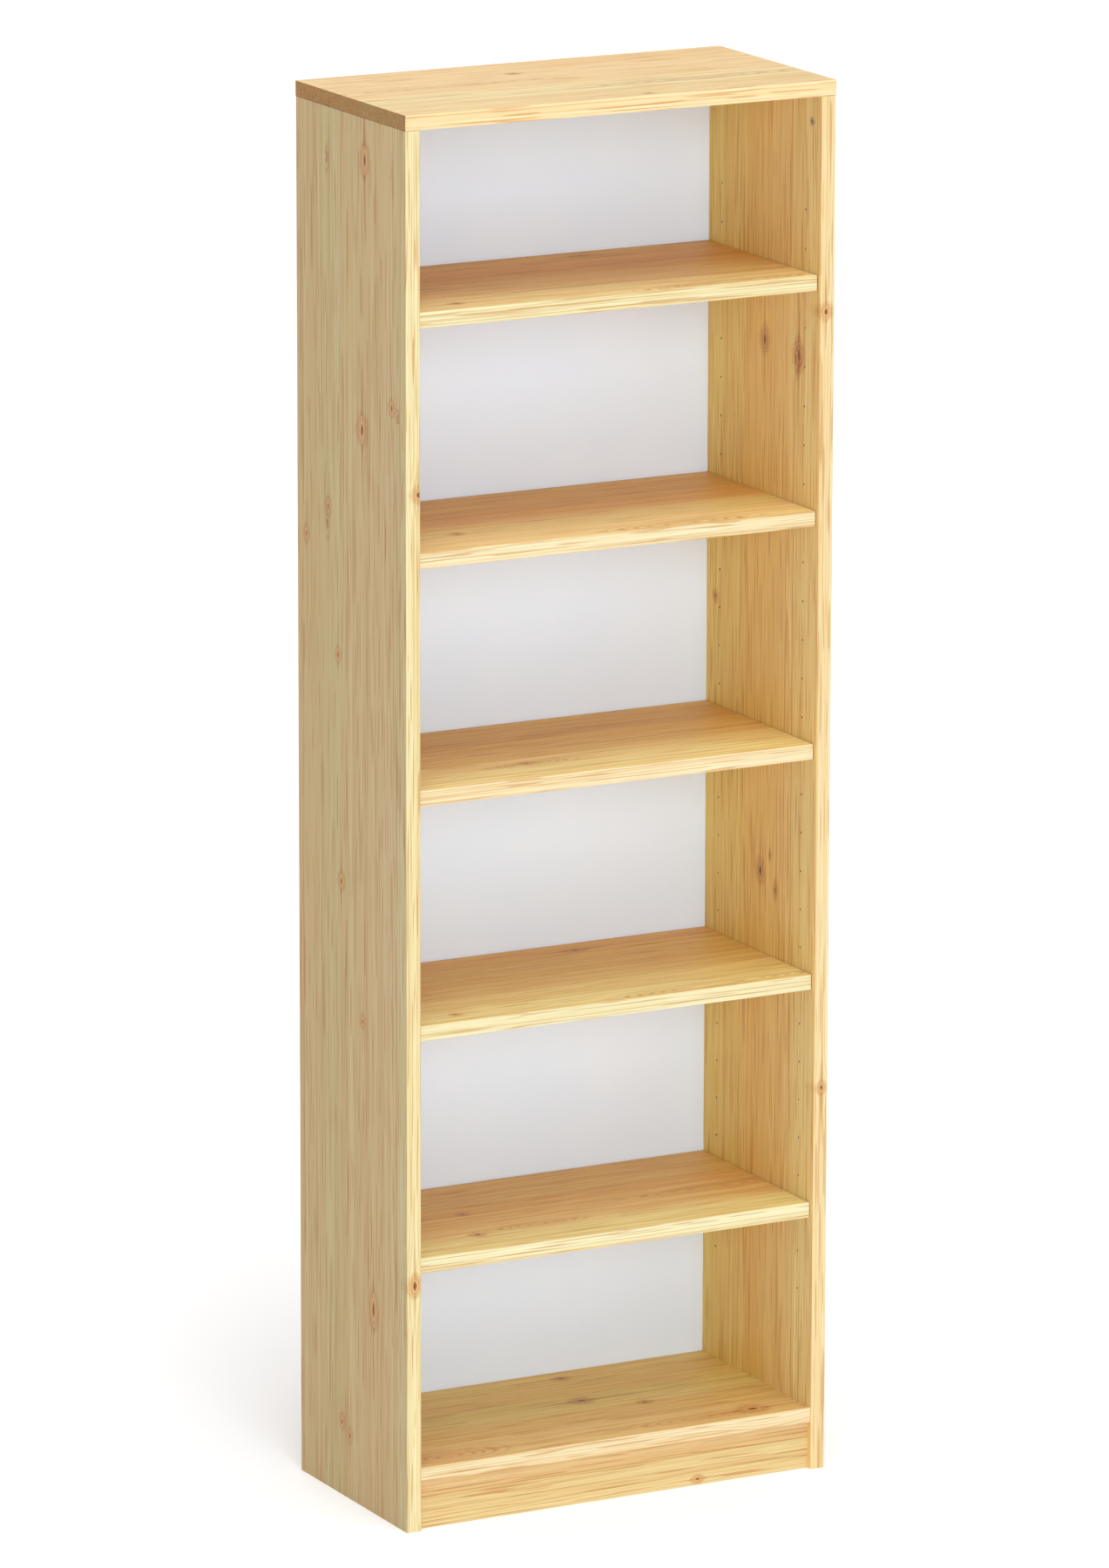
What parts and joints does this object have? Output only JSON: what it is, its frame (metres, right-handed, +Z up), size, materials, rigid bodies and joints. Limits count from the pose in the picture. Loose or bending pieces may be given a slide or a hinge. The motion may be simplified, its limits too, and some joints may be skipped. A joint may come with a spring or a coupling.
{
  "type": "bookcase with adjustable shelves",
  "caption": "Tall narrow open bookcase of glued pine boards: flush top over two sides, plinth, white back panel, and shelves that rest on steel pins in rows of holes.",
  "frame": {"origin": "middle of the footprint, on the floor", "axes": "+Z up, the open front faces -Y, +X to the right seen from the front"},
  "size_m": [0.6, 0.3, 1.8],
  "materials": {
    "pine": "planed and clear-lacquered pine, satin",
    "white_hardboard": "smooth white-painted hardboard, satin",
    "steel_pin": "bright zinc-plated steel",
    "zinc_cam": "cast zinc alloy, dull",
    "steel_fitting": "zinc-plated steel",
    "beech": "raw fluted beech"
  },
  "bodies": {
    "case": {"left_side": "pine", "right_side": "pine", "top_panel": "pine", "bottom_shelf": "pine", "plinth": "pine", "back_panel": "white_hardboard", "top_cams_left": "zinc_cam", "top_cam_bolts_left": "steel_fitting", "top_dowels_left": "beech", "bottom_cams_left": "zinc_cam", "bottom_cam_bolts_left": "steel_fitting", "bottom_dowels_left": "beech", "top_cams_right": "zinc_cam", "top_cam_bolts_right": "steel_fitting", "top_dowels_right": "beech", "bottom_cams_right": "zinc_cam", "bottom_cam_bolts_right": "steel_fitting", "bottom_dowels_right": "beech", "plinth_end_dowels": "beech", "plinth_edge_dowels": "beech", "back_panel_nails": "steel_fitting"},
    "shelf_1": {"shelf_1": "pine"},
    "shelf_2": {"shelf_2": "pine"},
    "shelf_3": {"shelf_3": "pine"},
    "shelf_4": {"shelf_4": "pine"},
    "shelf_5": {"shelf_5": "pine"},
    "pin_1_left_front": {"pin_1_left_front": "steel_pin"},
    "pin_1_left_back": {"pin_1_left_back": "steel_pin"},
    "pin_1_right_front": {"pin_1_right_front": "steel_pin"},
    "pin_1_right_back": {"pin_1_right_back": "steel_pin"},
    "pin_2_left_front": {"pin_2_left_front": "steel_pin"},
    "pin_2_left_back": {"pin_2_left_back": "steel_pin"},
    "pin_2_right_front": {"pin_2_right_front": "steel_pin"},
    "pin_2_right_back": {"pin_2_right_back": "steel_pin"},
    "pin_3_left_front": {"pin_3_left_front": "steel_pin"},
    "pin_3_left_back": {"pin_3_left_back": "steel_pin"},
    "pin_3_right_front": {"pin_3_right_front": "steel_pin"},
    "pin_3_right_back": {"pin_3_right_back": "steel_pin"},
    "pin_4_left_front": {"pin_4_left_front": "steel_pin"},
    "pin_4_left_back": {"pin_4_left_back": "steel_pin"},
    "pin_4_right_front": {"pin_4_right_front": "steel_pin"},
    "pin_4_right_back": {"pin_4_right_back": "steel_pin"},
    "pin_5_left_front": {"pin_5_left_front": "steel_pin"},
    "pin_5_left_back": {"pin_5_left_back": "steel_pin"},
    "pin_5_right_front": {"pin_5_right_front": "steel_pin"},
    "pin_5_right_back": {"pin_5_right_back": "steel_pin"}
  },
  "joints": [
    {"name": "shelf_1_out", "type": "slide", "parent": "case", "child": "shelf_1", "axis": [0, -1, 0], "range_m": [0, 0.295]},
    {"name": "shelf_2_out", "type": "slide", "parent": "case", "child": "shelf_2", "axis": [0, -1, 0], "range_m": [0, 0.295]},
    {"name": "shelf_3_out", "type": "slide", "parent": "case", "child": "shelf_3", "axis": [0, -1, 0], "range_m": [0, 0.295]},
    {"name": "shelf_4_out", "type": "slide", "parent": "case", "child": "shelf_4", "axis": [0, -1, 0], "range_m": [0, 0.295]},
    {"name": "shelf_5_out", "type": "slide", "parent": "case", "child": "shelf_5", "axis": [0, -1, 0], "range_m": [0, 0.295]},
    {"name": "pin_1_left_front_out", "type": "slide", "parent": "case", "child": "pin_1_left_front", "axis": [1, 0, 0], "range_m": [0, 0.0105]},
    {"name": "pin_1_left_back_out", "type": "slide", "parent": "case", "child": "pin_1_left_back", "axis": [1, 0, 0], "range_m": [0, 0.0105]},
    {"name": "pin_1_right_front_out", "type": "slide", "parent": "case", "child": "pin_1_right_front", "axis": [-1, 0, 0], "range_m": [0, 0.0105]},
    {"name": "pin_1_right_back_out", "type": "slide", "parent": "case", "child": "pin_1_right_back", "axis": [-1, 0, 0], "range_m": [0, 0.0105]},
    {"name": "pin_2_left_front_out", "type": "slide", "parent": "case", "child": "pin_2_left_front", "axis": [1, 0, 0], "range_m": [0, 0.0105]},
    {"name": "pin_2_left_back_out", "type": "slide", "parent": "case", "child": "pin_2_left_back", "axis": [1, 0, 0], "range_m": [0, 0.0105]},
    {"name": "pin_2_right_front_out", "type": "slide", "parent": "case", "child": "pin_2_right_front", "axis": [-1, 0, 0], "range_m": [0, 0.0105]},
    {"name": "pin_2_right_back_out", "type": "slide", "parent": "case", "child": "pin_2_right_back", "axis": [-1, 0, 0], "range_m": [0, 0.0105]},
    {"name": "pin_3_left_front_out", "type": "slide", "parent": "case", "child": "pin_3_left_front", "axis": [1, 0, 0], "range_m": [0, 0.0105]},
    {"name": "pin_3_left_back_out", "type": "slide", "parent": "case", "child": "pin_3_left_back", "axis": [1, 0, 0], "range_m": [0, 0.0105]},
    {"name": "pin_3_right_front_out", "type": "slide", "parent": "case", "child": "pin_3_right_front", "axis": [-1, 0, 0], "range_m": [0, 0.0105]},
    {"name": "pin_3_right_back_out", "type": "slide", "parent": "case", "child": "pin_3_right_back", "axis": [-1, 0, 0], "range_m": [0, 0.0105]},
    {"name": "pin_4_left_front_out", "type": "slide", "parent": "case", "child": "pin_4_left_front", "axis": [1, 0, 0], "range_m": [0, 0.0105]},
    {"name": "pin_4_left_back_out", "type": "slide", "parent": "case", "child": "pin_4_left_back", "axis": [1, 0, 0], "range_m": [0, 0.0105]},
    {"name": "pin_4_right_front_out", "type": "slide", "parent": "case", "child": "pin_4_right_front", "axis": [-1, 0, 0], "range_m": [0, 0.0105]},
    {"name": "pin_4_right_back_out", "type": "slide", "parent": "case", "child": "pin_4_right_back", "axis": [-1, 0, 0], "range_m": [0, 0.0105]},
    {"name": "pin_5_left_front_out", "type": "slide", "parent": "case", "child": "pin_5_left_front", "axis": [1, 0, 0], "range_m": [0, 0.0105]},
    {"name": "pin_5_left_back_out", "type": "slide", "parent": "case", "child": "pin_5_left_back", "axis": [1, 0, 0], "range_m": [0, 0.0105]},
    {"name": "pin_5_right_front_out", "type": "slide", "parent": "case", "child": "pin_5_right_front", "axis": [-1, 0, 0], "range_m": [0, 0.0105]},
    {"name": "pin_5_right_back_out", "type": "slide", "parent": "case", "child": "pin_5_right_back", "axis": [-1, 0, 0], "range_m": [0, 0.0105]}
  ]
}
